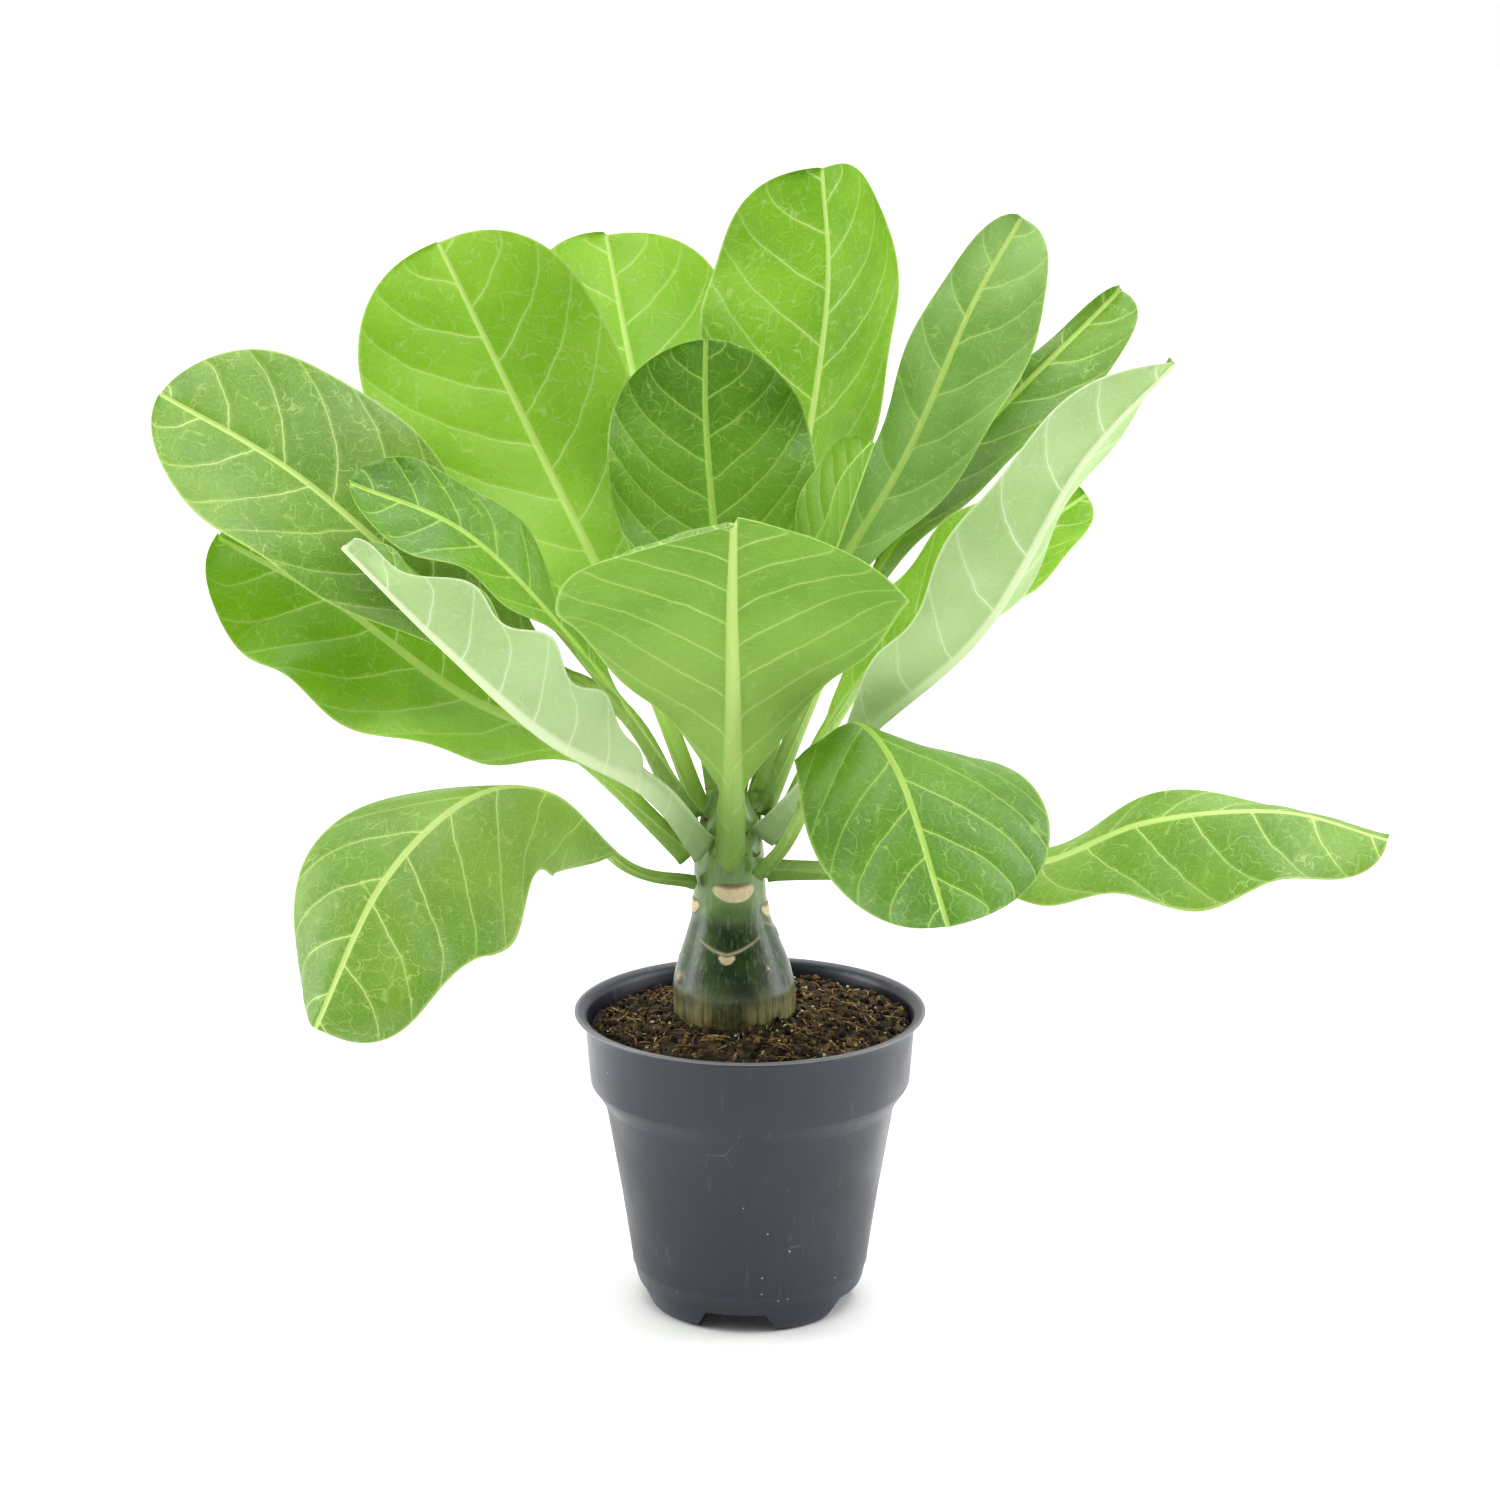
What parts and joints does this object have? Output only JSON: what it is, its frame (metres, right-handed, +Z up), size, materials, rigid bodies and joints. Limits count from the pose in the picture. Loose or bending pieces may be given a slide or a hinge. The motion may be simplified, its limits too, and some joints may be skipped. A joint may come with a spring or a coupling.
{
  "type": "potted brighamia",
  "caption": "Succulent with a swollen green stem and a rosette of broad paddle-shaped leaves, growing in peat in a round nursery pot.",
  "frame": {"origin": "pot axis at the bottom of the feet, which is also the bottom centre of the bounding box within about a millimetre", "axes": "+Z up the pot axis, -Y towards the front of the plant, +X to the right seen from the front"},
  "size_m": [0.3926, 0.2706, 0.3851],
  "materials": {
    "pot": "matte moulded plastic, dark blue-grey",
    "soil": "crumbly dark peat with fibres",
    "stem": "smooth waxy green skin with pale leaf scars",
    "leaf": "soft waxy green with pale veins"
  },
  "bodies": {
    "root": {"pot": "pot", "soil": "soil", "stem": "stem", "leaf_01": "leaf", "leaf_02": "leaf", "leaf_03": "leaf", "leaf_04": "leaf", "leaf_05": "leaf", "leaf_06": "leaf", "leaf_07": "leaf", "leaf_08": "leaf", "leaf_09": "leaf", "leaf_10": "leaf", "leaf_11": "leaf", "leaf_12": "leaf", "leaf_13": "leaf", "leaf_14": "leaf", "leaf_15": "leaf", "leaf_16": "leaf", "leaf_17": "leaf", "leaf_18": "leaf", "leaf_19": "leaf"}
  },
  "joints": []
}
